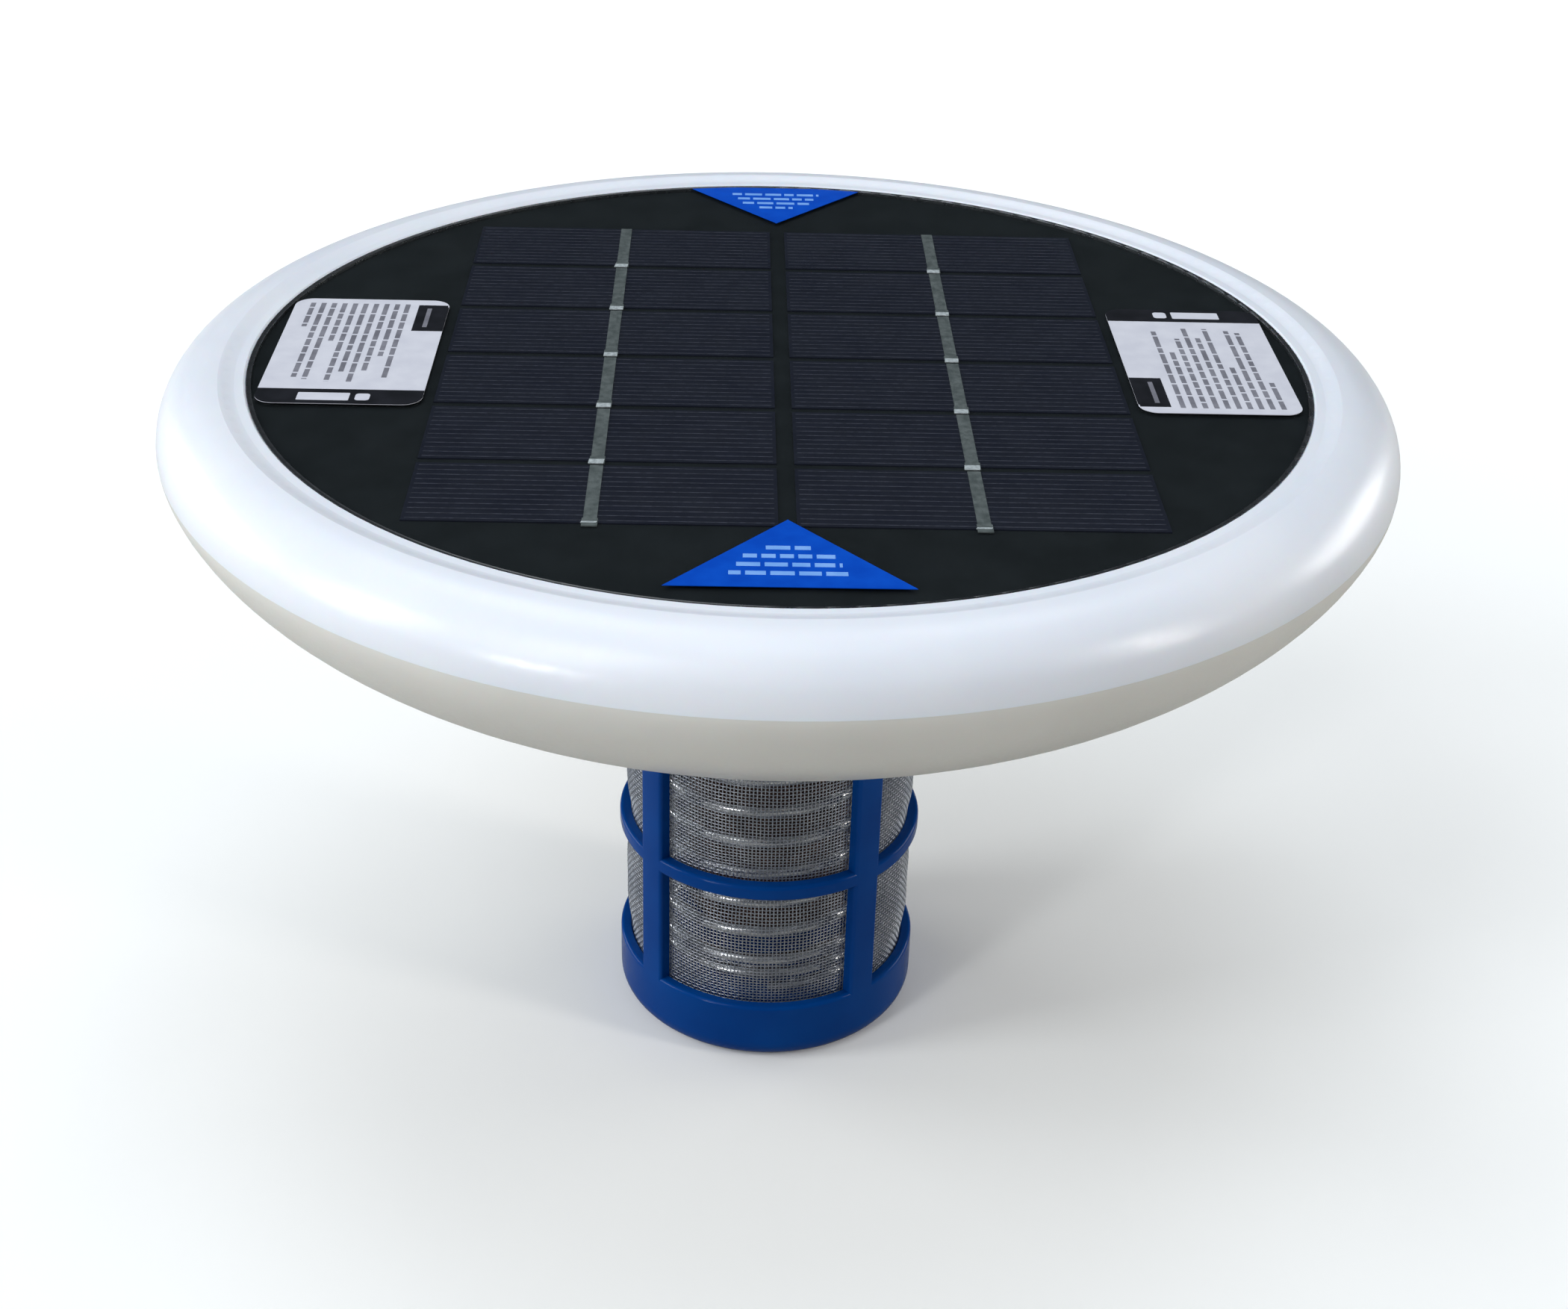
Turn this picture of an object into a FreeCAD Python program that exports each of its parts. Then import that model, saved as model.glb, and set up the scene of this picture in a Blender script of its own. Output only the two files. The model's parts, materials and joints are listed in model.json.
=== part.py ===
"""Floating solar water ionizer: a white float with a solar panel, over a screened electrode basket.

Millimetres, +Z up, origin at the centre of the basket's bottom rim. Front is -Y, right is +X.
Heights with "panel" in their name are measured from the plane of the solar cells.
"""
import FreeCAD, Part
import math
import os

from FreeCAD import Vector

# ---- driving dimensions ----
cell_plane = 165.0            # height of the solar cells above the bottom rim

float_radius = 132.5          # equator of the float
equator_height = cell_plane - 10.6
shell_wall = 2.5
lip_radius = 113.3            # inner edge of the white ring
lip_height = cell_plane + 0.9
lip_width = 2.4
crest_radius = 119.0
crest_height = cell_plane + 1.7
shelf_radius = 106.0          # inner edge of the shelf that carries the panel
shelf_height = cell_plane - 3.4
bowl_bottom = cell_plane - 54.0
bowl_shoulder = 7.0           # the side leaves the equator straight down, guided over this height
bowl_belly_radius = 113.5     # guides the side's turn towards the flat bottom
bowl_flat_radius = 38.1
bowl_opening_radius = 30.5

panel_radius = 112.3
glaze_top = cell_plane + 0.5
cell_thickness = 0.25
cell_width = 70.3
cell_depth = 25.0
row_pitch = 27.1
string_gap = 3.5
rows = 6
ribbon_width = 2.6
ribbon_thickness = 0.2
bridge_width = 3.0
bridge_length = 3.2

label_thickness = 0.12
label_width = 34.4
label_length = 58.0
label_corner = 4.0
left_label_centre = (-91.5, -0.3)
right_label_centre = (91.3, 2.4)
triangle_half_base = 22.7
triangle_height = 26.6
front_triangle_tip = -78.8
rear_triangle_tip = 85.2

flange_radius = 47.0
flange_thickness = 4.0
gasket_thickness = 1.0
gasket_top = bowl_bottom
flange_top = gasket_top - gasket_thickness
flange_bottom = flange_top - flange_thickness
spigot_radius = 33.1
spigot_bottom = cell_plane - 73.0
hub_floor_top = cell_plane - 66.0
hub_floor_bottom = cell_plane - 70.0
hub_boss_radius = 9.0
hub_boss_top = cell_plane - 60.0
hub_screw_circle = 41.5
hub_screw_count = 4
screw_radius = 1.9
screw_head_radius = 3.7
screw_head_height = 2.2
screw_length = 15.0

insert_radius = 5.0
insert_flange_radius = 9.0
insert_bottom = cell_plane - 71.5
insert_top = cell_plane - 54.0
rod_radius = 3.0
rod_top = cell_plane - 58.0
rod_bottom = 2.2
anode_radius = 19.5
anode_top = insert_bottom
anode_bottom = cell_plane - 140.0
washer_radius = 7.0
washer_thickness = 1.5
nut_across_flats = 10.0
nut_height = 5.0

box_half_x = 24.0
box_half_y = 15.0
box_y = 22.0                  # the junction box sits a little behind the middle
box_wall = 1.6
box_top = shelf_height
box_bottom = box_top - 13.0
terminal_thickness = 0.8
lead_radius = 0.9
lead_x = 12.0                 # where each lead leaves its terminal, left and right
lug_screw_radius = 1.25
lug_screw_length = 3.8
lug_thickness = 0.8
lug_tongue = 6.6

contact_inner_radius = 22.6
contact_outer_radius = 28.4
contact_thickness = 1.2
contact_stud_radius = 2.0
contact_stud_top = hub_floor_top + 9.0
contact_y = (contact_inner_radius + contact_outer_radius) / 2
contact_nut_across_flats = 6.0
contact_nut_height = 3.0

basket_outer_radius = 35.9
basket_inner_radius = 33.3
collar_top = cell_plane - 60.0
collar_bottom = cell_plane - 83.0
hoop_top = cell_plane - 114.6
hoop_height = 3.8
post_width = 7.3
post_count = 4
post_angle = 39.0             # from the front towards the right
cup_rim = cell_plane - 149.2
cup_floor_top = cell_plane - 152.6
cup_floor_thickness = 2.5
cup_floor_bottom = cup_floor_top - cup_floor_thickness
cup_base_inner_radius = 28.0
cup_bottom_round = 5.0
moulding_round = 0.9
inner_round = 0.4
drain_hole_radius = 2.0
drain_hole_circle = 17.0
drain_hole_count = 6
rod_hole_radius = 3.6
screen_thickness = 0.4

coil_radius = 25.3
coil_wire_radius = 1.5
coil_closed_pitch = 4.1
coil_open_pitch = 8.45
coil_closed_turns = 2
coil_open_turns = 7.9
coil_points_per_turn = 12

knob_washer_thickness = 1.2
knob_washer_radius = 9.0
knob_top = cup_floor_bottom - knob_washer_thickness
knob_height = 7.2
knob_radius = 13.0
knob_lobes = 6
knob_insert_radius = 5.0
knob_insert_height = 6.0
running_clearance = 0.05

ORIGIN = Vector(0, 0, 0)
UP = Vector(0, 0, 1)


# ---- small helpers ----
def at(radius, height):
    """A point of a half-section, in the XZ plane."""
    return Vector(radius, 0, height)


def line(start, end):
    return Part.LineSegment(start, end).toShape()


def arc(start, middle, end):
    return Part.Arc(start, middle, end).toShape()


def bezier(*poles):
    curve = Part.BezierCurve()
    curve.setPoles(list(poles))
    return curve.toShape()


def path(*points):
    """Straight edges through the points, open at the ends."""
    return [line(a, b) for a, b in zip(points, points[1:])]


def corner_arc(before, corner, after, setback):
    """The start, middle and end of the arc that rounds a corner, from the setback on either side of it."""
    into = (corner - before).normalize()
    out = (after - corner).normalize()
    half_turn = into.getAngle(out) / 2
    bend = setback / math.tan(half_turn)
    inward = (out - into).normalize()
    middle = corner + inward * (bend / math.cos(half_turn) - bend)
    return corner - into * setback, middle, corner + out * setback


def revolve(edges):
    face = Part.Face(Part.Wire(edges))
    return face.revolve(ORIGIN, UP, 360)


def turned(*section):
    """A turned solid from the (radius, height) corners of its half-section."""
    points = [at(*p) for p in section]
    return revolve(path(*points, points[0]))


def rounded_turned(*section):
    """A turned solid from the (radius, height, rounding) corners of its half-section."""
    points = [at(radius, height) for radius, height, _ in section]
    edges = []
    ends = []
    for i, (_, _, rounding) in enumerate(section):
        start = middle = end = points[i]
        if rounding:
            after = points[(i + 1) % len(points)]
            start, middle, end = corner_arc(points[i - 1], points[i], after, rounding)
            edges.append(arc(start, middle, end))
        ends.append((start, end))
    for (_, end), (start, _) in zip(ends, ends[1:] + ends[:1]):
        edges.append(line(end, start))
    return revolve(Part.__sortEdges__(edges))


def cylinder(radius, bottom, top, x=0.0, y=0.0):
    return Part.makeCylinder(radius, top - bottom, Vector(x, y, bottom))


def tube(inner, outer, bottom, top, x=0.0, y=0.0):
    return cylinder(outer, bottom, top, x, y).cut(cylinder(inner, bottom - 1, top + 1, x, y))


def box(x0, x1, y0, y1, z0, z1):
    return Part.makeBox(x1 - x0, y1 - y0, z1 - z0, Vector(x0, y0, z0))


def is_upright(edge):
    return abs(edge.tangentAt(edge.FirstParameter).z) > 0.9


def around(count, first_angle=0.0):
    """Angles in degrees, evenly spaced round the axis."""
    return [first_angle + 360.0 * i / count for i in range(count)]


def on_circle(radius, angle):
    """The (x, y) of a point at an angle measured from the front towards the right."""
    a = math.radians(angle)
    return radius * math.sin(a), -radius * math.cos(a)


def save(name, shape):
    shape.exportStep("parts/" + name + ".step")


# ---- float ----
def upper_shell():
    """The white ring: a rounded crest and outer wall, a flat lip and the shelf for the panel."""
    wall_top = at(lip_radius, lip_height - 0.5)
    lip_start = at(lip_radius + 0.5, lip_height)
    lip_end = at(lip_radius + lip_width, lip_height)
    crest = at(crest_radius, crest_height)
    equator = at(float_radius, equator_height)
    rise = crest_height - equator_height
    reach = float_radius - crest_radius
    round_off = 0.5523
    inner_equator = at(float_radius - shell_wall, equator_height)
    inner_crest = at(crest_radius, crest_height - shell_wall)
    inner_rise = rise - shell_wall
    inner_reach = reach - shell_wall
    shelf_end = at(lip_radius, shelf_height)
    edges = [
        line(shelf_end, wall_top),
        line(wall_top, lip_start),
        line(lip_start, lip_end),
        bezier(
            lip_end,
            at(lip_radius + lip_width + 1.6, lip_height),
            at(crest_radius - 1.2, crest_height),
            crest,
        ),
        bezier(
            crest,
            at(crest_radius + round_off * reach, crest_height),
            at(float_radius, equator_height + round_off * rise),
            equator,
        ),
        line(equator, inner_equator),
        bezier(
            inner_equator,
            at(float_radius - shell_wall, equator_height + round_off * inner_rise),
            at(crest_radius + round_off * inner_reach, crest_height - shell_wall),
            inner_crest,
        ),
    ]
    edges += path(
        inner_crest,
        at(lip_radius + 2.2, crest_height - shell_wall),
        at(lip_radius + 2.2, shelf_height - shell_wall),
        at(shelf_radius, shelf_height - shell_wall),
        at(shelf_radius, shelf_height),
        shelf_end,
    )
    return revolve(edges)


def bowl_curve(inset):
    """One side of the bowl, from the equator to its flat bottom, moved inwards by the inset."""
    return bezier(
        at(float_radius - inset, equator_height),
        at(float_radius - inset, equator_height - bowl_shoulder),
        at(bowl_belly_radius - inset, bowl_bottom + inset),
        at(bowl_flat_radius, bowl_bottom + inset),
    )


def lower_shell():
    """The white bowl, with four screw bosses round the opening in its bottom."""
    outer = bowl_curve(0.0)
    inner = bowl_curve(shell_wall)
    edges = [outer]
    edges += path(
        at(bowl_flat_radius, bowl_bottom),
        at(bowl_opening_radius, bowl_bottom),
        at(bowl_opening_radius, bowl_bottom + shell_wall),
        at(bowl_flat_radius, bowl_bottom + shell_wall),
    )
    edges += [inner, line(at(float_radius - shell_wall, equator_height), at(float_radius, equator_height))]
    shell = revolve(edges)
    boss_top = flange_bottom + screw_length + 2.0
    for angle in around(hub_screw_count, 45.0):
        x, y = on_circle(hub_screw_circle, angle)
        shell = shell.fuse(cylinder(4.5, bowl_bottom + 0.5, boss_top, x, y))
        shell = shell.cut(cylinder(screw_radius, bowl_bottom - 1, flange_bottom + screw_length, x, y))
    return shell.removeSplitter()


# ---- solar panel ----
def cell_centre(string, row):
    """String -1 is the left one and +1 the right one; row 0 is at the front."""
    x = string * (cell_width + string_gap) / 2
    y = (row - (rows - 1) / 2) * row_pitch
    return x, y


def cell(string, row):
    x, y = cell_centre(string, row)
    half_w, half_d = cell_width / 2, cell_depth / 2
    return box(x - half_w, x + half_w, y - half_d, y + half_d, cell_plane - cell_thickness, cell_plane)


def ribbon(string, row):
    """One tab ribbon along its cell, with the wider soldered bridge at its front end."""
    x, y = cell_centre(string, row)
    top = cell_plane + ribbon_thickness
    front = y - cell_depth / 2
    strip = box(x - ribbon_width / 2, x + ribbon_width / 2, front, y + cell_depth / 2 - 0.3, cell_plane, top)
    bridge = box(
        x - bridge_width / 2, x + bridge_width / 2,
        front - bridge_length / 2, front + bridge_length / 2,
        cell_plane, top + 0.05,
    )
    return strip.fuse(bridge).removeSplitter()


def ribbons(string):
    return Part.makeCompound([ribbon(string, row) for row in range(rows)])


def substrate():
    """The black board under the cells."""
    return cylinder(panel_radius, shelf_height, cell_plane - cell_thickness)


def glaze(cells, strips):
    """The clear layer cast over the cells, so it has a pocket for each."""
    layer = cylinder(panel_radius, cell_plane - cell_thickness, glaze_top)
    return layer.cut(Part.makeCompound(cells + strips))


def sealant():
    """The black bead between the panel and the ring, with its top dished a little."""
    top = glaze_top + 0.15
    middle = (panel_radius + lip_radius) / 2
    edges = path(
        at(panel_radius, glaze_top), at(panel_radius, shelf_height),
        at(lip_radius, shelf_height), at(lip_radius, top),
    )
    edges.append(arc(at(lip_radius, top), at(middle, glaze_top - 0.1), at(panel_radius, glaze_top)))
    return revolve(edges)


def info_label(centre):
    """A rounded rectangular label, trimmed where it meets the panel's edge."""
    x, y = centre
    half_w, half_l = label_width / 2, label_length / 2
    label = box(x - half_w, x + half_w, y - half_l, y + half_l, glaze_top, glaze_top + label_thickness)
    label = label.makeFillet(label_corner, [e for e in label.Edges if is_upright(e)])
    return label.common(cylinder(panel_radius - 0.1, glaze_top - 1, glaze_top + 1))


def triangle_label(tip, outward):
    """A triangle with its tip towards the centre; outward is -1 at the front, +1 at the rear."""
    base = tip + outward * triangle_height
    corners = [
        Vector(0, tip, glaze_top),
        Vector(-triangle_half_base, base, glaze_top),
        Vector(triangle_half_base, base, glaze_top),
    ]
    face = Part.Face(Part.makePolygon(corners + corners[:1]))
    label = face.extrude(UP * label_thickness)
    return label.common(cylinder(panel_radius - 0.1, glaze_top - 1, glaze_top + 1))


# ---- wiring inside the float ----
def junction_box():
    """An open tub glued to the back of the panel, with an exit hole for each lead in its floor."""
    tub = box(-box_half_x, box_half_x, box_y - box_half_y, box_y + box_half_y, box_bottom, box_top)
    inside = box(
        -box_half_x + box_wall, box_half_x - box_wall,
        box_y - box_half_y + box_wall, box_y + box_half_y - box_wall,
        box_bottom + box_wall, box_top + 1,
    )
    tub = tub.cut(inside)
    for side in (-1, 1):
        tub = tub.cut(cylinder(lead_radius, box_bottom - 1, box_top, side * lead_x, box_y))
    return tub


def terminal(side):
    """A brass tab soldered to the back of the panel, over the end of its lead."""
    x = side * lead_x
    return box(x - 3.0, x + 3.0, box_y - 7.0, box_y + 3.0, box_top - terminal_thickness, box_top)


def diode():
    """The axial blocking diode, between the two terminals."""
    body_radius, leg_radius, body_length = 2.0, 0.4, 8.0
    y = box_y - 5.5
    top = box_top - terminal_thickness
    height = top - body_radius
    along = Vector(1, 0, 0)
    shape = Part.makeCylinder(body_radius, body_length, Vector(-body_length / 2, y, height), along)
    shape = shape.fuse(Part.makeCylinder(leg_radius, 2 * lead_x, Vector(-lead_x, y, height), along))
    for side in (-1, 1):
        shape = shape.fuse(cylinder(leg_radius, height, top, side * lead_x, y))
    return shape


def lead(side, end_x, end_y, end_height):
    """A lead in three straight runs and two arcs, from its terminal down to its lug."""
    middle_height = (box_bottom + end_height) / 2
    points = [
        Vector(side * lead_x, box_y, box_top - terminal_thickness),
        Vector(side * lead_x, box_y, middle_height + 2.0),
        Vector(end_x, end_y, middle_height - 6.0),
        Vector(end_x, end_y, end_height),
    ]
    edges = []
    here = points[0]
    for before, corner, after in zip(points, points[1:], points[2:]):
        setback = 0.45 * min((corner - before).Length, (after - corner).Length)
        start, middle, end = corner_arc(before, corner, after, setback)
        edges += [line(here, start), arc(start, middle, end)]
        here = end
    edges.append(line(here, points[-1]))
    spine = Part.Wire(edges)
    section = Part.Wire(Part.makeCircle(lead_radius, points[0], UP))
    return spine.makePipeShell([section], True, False)


def lug(y, bottom, hole, towards):
    """A flat ring terminal on the centre line; its tongue runs to the rear (+1) or the front (-1)."""
    top = bottom + lug_thickness
    ring = tube(hole, hole + 2.4, bottom, top, 0, y)
    near = y + towards * (hole + 1.2)
    far = y + towards * (hole + lug_tongue)
    tongue = box(-1.6, 1.6, min(near, far), max(near, far), bottom, top)
    return ring.fuse(tongue).removeSplitter()


def lug_end(y, hole, towards):
    """Where the lead is crimped, near the end of the lug's tongue."""
    return y + towards * (hole + lug_tongue - 1.8)


# ---- electrode hub ----
def hub():
    """The moulding under the float: flange, spigot for the basket and floor for the contacts."""
    shape = turned(
        (bowl_opening_radius - 0.3, flange_top),
        (bowl_opening_radius - 0.3, hub_floor_top),
        (hub_boss_radius, hub_floor_top),
        (hub_boss_radius, hub_boss_top),
        (insert_radius, hub_boss_top),
        (insert_radius, hub_floor_bottom),
        (contact_outer_radius + 0.6, hub_floor_bottom),
        (contact_outer_radius + 0.6, spigot_bottom),
        (spigot_radius - 0.8, spigot_bottom),
        (spigot_radius, spigot_bottom + 0.8),
        (spigot_radius, flange_bottom),
        (flange_radius - 1.0, flange_bottom),
        (flange_radius, flange_bottom + 1.0),
        (flange_radius, flange_top),
    )
    for angle in around(hub_screw_count, 45.0):
        x, y = on_circle(hub_screw_circle, angle)
        shape = shape.cut(cylinder(screw_radius, flange_bottom - 1, flange_top + 1, x, y))
    return shape.cut(cylinder(contact_stud_radius, hub_floor_bottom - 1, hub_floor_top + 1, 0, contact_y))


def gasket():
    shape = tube(bowl_opening_radius, flange_radius - 0.5, flange_top, gasket_top)
    for angle in around(hub_screw_count, 45.0):
        x, y = on_circle(hub_screw_circle, angle)
        shape = shape.cut(cylinder(screw_radius, flange_top - 1, gasket_top + 1, x, y))
    return shape


def hub_screw(angle):
    """A domed-head stainless screw with a cross recess."""
    x, y = on_circle(hub_screw_circle, angle)
    head = turned(
        (0, flange_bottom),
        (screw_head_radius, flange_bottom),
        (screw_head_radius, flange_bottom - 0.9),
        (screw_head_radius - 1.1, flange_bottom - screw_head_height),
        (0, flange_bottom - screw_head_height),
    )
    head.translate(Vector(x, y, 0))
    shape = head.fuse(cylinder(screw_radius, flange_bottom, flange_bottom + screw_length, x, y))
    slot_bottom = flange_bottom - screw_head_height - 1
    slot_top = flange_bottom - 0.9
    for half_x, half_y in ((1.9, 0.45), (0.45, 1.9)):
        shape = shape.cut(box(x - half_x, x + half_x, y - half_y, y + half_y, slot_bottom, slot_top))
    return shape


def hub_screws():
    return Part.makeCompound([hub_screw(angle) for angle in around(hub_screw_count, 45.0)])


def anode_insert():
    """The brass bush in the hub: a blind thread below, a lug seat above."""
    return turned(
        (0, insert_top),
        (insert_radius, insert_top),
        (insert_radius, hub_floor_bottom),
        (insert_flange_radius, hub_floor_bottom),
        (insert_flange_radius, insert_bottom),
        (rod_radius, insert_bottom),
        (rod_radius, rod_top),
        (0, rod_top),
    ).cut(cylinder(lug_screw_radius, insert_top + lug_thickness - lug_screw_length, insert_top + 1))


def lug_screw():
    """The small screw that clamps the red lead's lug to the insert."""
    seat = insert_top + lug_thickness
    return cylinder(2.4, seat, seat + 1.6).fuse(cylinder(lug_screw_radius, seat - lug_screw_length, seat))


def cathode_contact():
    """The stainless ring that the coil presses on, with its stud up through the hub floor."""
    ring_bottom = hub_floor_bottom - contact_thickness
    ring = tube(contact_inner_radius, contact_outer_radius, ring_bottom, hub_floor_bottom)
    stud = cylinder(contact_stud_radius, hub_floor_bottom - 0.2, contact_stud_top, 0, contact_y)
    return ring.fuse(stud).removeSplitter()


def nut(across_flats, bore, bottom, top, y=0.0):
    """A hexagon nut on the centre line, with its corners chamfered on both faces."""
    corner = across_flats / math.sqrt(3)
    corners = [Vector(*on_circle(corner, angle), bottom) for angle in around(6, 90.0)]
    hexagon = Part.Face(Part.makePolygon(corners + corners[:1])).extrude(UP * (top - bottom))
    chamfer = corner - across_flats / 2
    blank = turned(
        (0, bottom),
        (corner - chamfer, bottom),
        (corner, bottom + chamfer * 0.6),
        (corner, top - chamfer * 0.6),
        (corner - chamfer, top),
        (0, top),
    )
    shape = hexagon.common(blank).cut(cylinder(bore, bottom - 1, top + 1))
    shape.translate(Vector(0, y, 0))
    return shape


# ---- electrodes ----
def anode_rod():
    return turned(
        (0, rod_bottom), (rod_radius - 0.6, rod_bottom), (rod_radius, rod_bottom + 0.6),
        (rod_radius, rod_top), (0, rod_top),
    )


def copper_anode():
    edge = 1.0
    return turned(
        (rod_radius, anode_bottom), (anode_radius - edge, anode_bottom), (anode_radius, anode_bottom + edge),
        (anode_radius, anode_top - edge), (anode_radius - edge, anode_top), (rod_radius, anode_top),
    )


def coil_height(turn):
    """The wire's height after so many turns: a closed foot, open turns, and a closed turn at the top."""
    foot = cup_floor_top + coil_wire_radius
    head = hub_floor_bottom - contact_thickness - coil_wire_radius
    open_from = foot + coil_closed_pitch * coil_closed_turns
    open_to = open_from + coil_open_pitch * coil_open_turns
    into_open = turn - coil_closed_turns
    if into_open <= 0:
        return foot + coil_closed_pitch * turn
    if into_open <= coil_open_turns:
        return open_from + coil_open_pitch * into_open
    return open_to + (head - open_to) * (into_open - coil_open_turns)


def cathode_coil():
    """The stainless spring round the anode, swept along one smooth curve."""
    turns = coil_closed_turns + coil_open_turns + 1
    steps = round(turns * coil_points_per_turn)
    points = []
    for step in range(steps + 1):
        turn = turns * step / steps
        x, y = on_circle(coil_radius, 360.0 * turn)
        points.append(Vector(x, y, coil_height(turn)))
    curve = Part.BSplineCurve()
    curve.interpolate(points)
    start = curve.tangent(curve.FirstParameter)[0]
    section = Part.Wire(Part.makeCircle(coil_wire_radius, points[0], start))
    return Part.Wire(curve.toShape()).makePipeShell([section], True, True)


# ---- basket ----
def post(angle):
    """One upright of the basket, from the collar into the cup, with its outer edges rounded."""
    bottom, top = cup_rim - 1, collar_bottom + 1
    half = post_width / 2
    bar = box(-half, half, -basket_outer_radius - 1, -basket_inner_radius + 2, bottom, top)
    bar = bar.common(tube(basket_inner_radius, basket_outer_radius, bottom, top))
    outer_edges = [e for e in bar.Edges if is_upright(e) and e.BoundBox.YMax < -basket_inner_radius - 1]
    bar = bar.makeFillet(moulding_round, outer_edges)
    bar.rotate(ORIGIN, UP, angle)
    return bar


def cup():
    """The basket's cup, with a recess under its floor for the knob."""
    outer, inner = basket_outer_radius, basket_inner_radius
    return rounded_turned(
        (outer, 0, cup_bottom_round),
        (outer, cup_rim, moulding_round),
        (inner, cup_rim, inner_round),
        (inner, cup_floor_top, 0),
        (rod_hole_radius, cup_floor_top, 0),
        (rod_hole_radius, cup_floor_bottom, 0),
        (cup_base_inner_radius, cup_floor_bottom, 0),
        (cup_base_inner_radius, 0, inner_round),
    )


def ring(bottom, top):
    """A band of the basket's wall, with its outer edges rounded."""
    return rounded_turned(
        (basket_inner_radius, bottom, 0),
        (basket_outer_radius, bottom, moulding_round),
        (basket_outer_radius, top, moulding_round),
        (basket_inner_radius, top, 0),
    )


def basket_frame():
    """One moulding: collar, four posts, hoop and cup."""
    shape = cup().fuse(ring(collar_bottom, collar_top)).fuse(ring(hoop_top - hoop_height, hoop_top))
    for angle in around(post_count, post_angle):
        shape = shape.fuse(post(angle))
    for angle in around(drain_hole_count):
        x, y = on_circle(drain_hole_circle, angle)
        shape = shape.cut(cylinder(drain_hole_radius, cup_floor_bottom - 1, cup_floor_top + 1, x, y))
    return shape.removeSplitter()


def mesh_screen():
    """The envelope of the woven screen, moulded against the inside of the frame."""
    top = collar_bottom + 6.0
    return tube(basket_inner_radius - screen_thickness, basket_inner_radius, cup_floor_top, top)


# ---- knob ----
def knob():
    """The lobed thumb nut under the cup, with a pocket for its threaded insert."""
    bottom = knob_top - knob_height
    shape = cylinder(knob_radius, bottom, knob_top)
    flute_radius = 4.0
    for angle in around(knob_lobes, 30.0):
        x, y = on_circle(knob_radius + 2.2, angle)
        shape = shape.cut(cylinder(flute_radius, bottom - 1, knob_top - 1.6, x, y))
    shape = shape.cut(cylinder(knob_insert_radius, knob_top - knob_insert_height, knob_top + 1))
    return shape.cut(cylinder(rod_radius + 0.4, bottom - 1, knob_top))


def knob_insert():
    bore = rod_radius + running_clearance
    return tube(bore, knob_insert_radius, knob_top - knob_insert_height, knob_top)


def knob_washer():
    return tube(rod_hole_radius, knob_washer_radius, knob_top, cup_floor_bottom)


# ---- write every piece ----
def main():
    os.makedirs("parts", exist_ok=True)
    cells = []
    strips = []
    for string, side in ((-1, "left"), (1, "right")):
        for row in range(rows):
            wafer = cell(string, row)
            cells.append(wafer)
            save("solar_cell_%s_%d" % (side, row + 1), wafer)
        strip = ribbons(string)
        strips.append(strip)
        save("tab_ribbons_" + side, strip)
    save("float_upper_shell", upper_shell())
    save("float_lower_shell", lower_shell())
    save("panel_board", substrate())
    save("panel_glaze", glaze(cells, strips))
    save("panel_sealant", sealant())
    save("info_label_left", info_label(left_label_centre))
    save("info_label_right", info_label(right_label_centre))
    save("triangle_label_front", triangle_label(front_triangle_tip, -1))
    save("triangle_label_rear", triangle_label(rear_triangle_tip, 1))
    save("junction_box", junction_box())
    save("junction_terminals", Part.makeCompound([terminal(-1), terminal(1)]))
    save("blocking_diode", diode())
    anode_lead_y = lug_end(0, lug_screw_radius, 1)
    save("anode_lead", lead(-1, 0.0, anode_lead_y, insert_top + lug_thickness))
    save("anode_lug", lug(0, insert_top, lug_screw_radius, 1))
    save("lug_screw", lug_screw())
    nut_seat = hub_floor_top + lug_thickness
    cathode_lead_y = lug_end(contact_y, contact_stud_radius, -1)
    save("cathode_lead", lead(1, 0.0, cathode_lead_y, nut_seat))
    save("cathode_lug", lug(contact_y, hub_floor_top, contact_stud_radius, -1))
    nut_top = nut_seat + contact_nut_height
    save("contact_nut", nut(contact_nut_across_flats, contact_stud_radius, nut_seat, nut_top, contact_y))
    save("electrode_hub", hub())
    save("hub_gasket", gasket())
    save("hub_screws", hub_screws())
    save("anode_insert", anode_insert())
    save("cathode_contact", cathode_contact())
    save("anode_rod", anode_rod())
    save("copper_anode", copper_anode())
    save("anode_washer", tube(rod_radius, washer_radius, anode_bottom - washer_thickness, anode_bottom))
    anode_nut_top = anode_bottom - washer_thickness
    save("anode_nut", nut(nut_across_flats, rod_radius, anode_nut_top - nut_height, anode_nut_top))
    save("cathode_coil", cathode_coil())
    save("basket_frame", basket_frame())
    save("mesh_screen", mesh_screen())
    save("knob_washer", knob_washer())
    save("basket_knob", knob())
    save("knob_insert", knob_insert())


main()
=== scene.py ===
"""Looks of the floating solar water ionizer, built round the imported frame. Metres, +Z up, front -Y."""

import json
import math
import random

import bpy
import numpy as np
from mathutils import Matrix, Vector


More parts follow.
